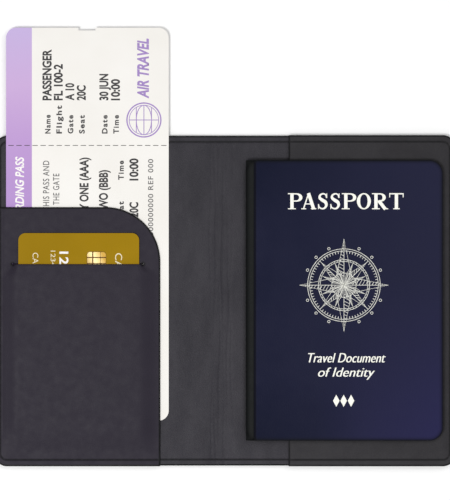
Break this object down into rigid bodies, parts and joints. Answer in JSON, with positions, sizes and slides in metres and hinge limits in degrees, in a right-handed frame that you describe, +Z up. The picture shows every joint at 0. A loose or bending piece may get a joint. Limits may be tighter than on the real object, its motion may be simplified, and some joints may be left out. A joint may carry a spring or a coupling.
{
  "type": "passport holder",
  "caption": "Bi-fold leather passport holder lying open, with a passport under its flap and a bank card and boarding pass in its pocket.",
  "frame": {"origin": "on the table, under the middle of the fold strip, halfway up the holder", "axes": "+X across the open holder from the pocket to the passport, +Y up its height towards the end the boarding pass stands out of, +Z up from the table"},
  "size_m": [0.207, 0.1963, 0.0055],
  "materials": {
    "leather_outer": "fine pebbled black leather, satin",
    "leather_lining": "smooth charcoal leather, satin",
    "leather_panel": "fine grained black leather, satin",
    "thread": "black waxed thread",
    "backing": "matt fibre board",
    "pass_stock": "matt off-white card stock",
    "card_plastic": "satin gold plastic",
    "chip_contacts": "gold plated contacts",
    "stripe": "black magnetic stripe",
    "signature": "matt white signature panel",
    "passport_cloth": "navy leather-grained book cloth",
    "passport_paper": "cream security paper",
    "data_page_plastic": "pale polycarbonate page"
  },
  "bodies": {
    "right_half": {"outer_cover_right": "leather_outer", "backing_sheet_right": "backing", "lining_right": "leather_lining", "right_flap_panel": "leather_panel", "seam_thread_right": "thread", "seam_thread_flap": "thread"},
    "fold_strip": {"outer_cover_fold": "leather_outer", "lining_fold": "leather_lining", "seam_thread_fold": "thread"},
    "left_half": {"outer_cover_left": "leather_outer", "backing_sheet_left": "backing", "lining_left": "leather_lining", "left_pocket_panel": "leather_panel", "seam_thread_pocket": "thread", "seam_thread_left": "thread"},
    "boarding_pass": {"boarding_pass_main": "pass_stock", "boarding_pass_stub": "pass_stock"},
    "bank_card": {"card_body": "card_plastic", "card_chip": "chip_contacts", "card_magnetic_stripe": "stripe", "card_signature_panel": "signature"},
    "passport": {"passport_back_cover": "passport_cloth", "passport_back_endpaper": "passport_paper", "passport_spine": "passport_cloth", "passport_page_block": "passport_paper", "passport_sewing_thread": "thread", "passport_data_page": "data_page_plastic"},
    "passport_front": {"passport_front_endpaper": "passport_paper", "passport_front_cover": "passport_cloth"}
  },
  "joints": [
    {"name": "fold_right", "type": "hinge", "parent": "fold_strip", "child": "right_half", "pos_m": [0.00375, 0, 0.00175], "axis": [0, 1, 0], "range_deg": [-90, 0]},
    {"name": "fold_left", "type": "hinge", "parent": "fold_strip", "child": "left_half", "pos_m": [-0.00375, 0, 0.00175], "axis": [0, -1, 0], "range_deg": [-90, 0]},
    {"name": "boarding_pass_slide", "type": "slide", "parent": "left_half", "child": "boarding_pass", "axis": [0, 1, 0], "range_m": [0, 0.1]},
    {"name": "bank_card_slide", "type": "slide", "parent": "left_half", "child": "bank_card", "axis": [0, 1, 0], "range_m": [0, 0.075]},
    {"name": "passport_slide", "type": "slide", "parent": "right_half", "child": "passport", "axis": [-1, 0, 0], "range_m": [0, 0.034]},
    {"name": "passport_cover_open", "type": "hinge", "parent": "passport", "child": "passport_front", "pos_m": [0.0094, 0, 0.0052], "axis": [0, -1, 0], "range_deg": [0, 170]}
  ],
  "couplings": [
    {"joint": "fold_left", "follows": "fold_right", "ratio": 1}
  ]
}
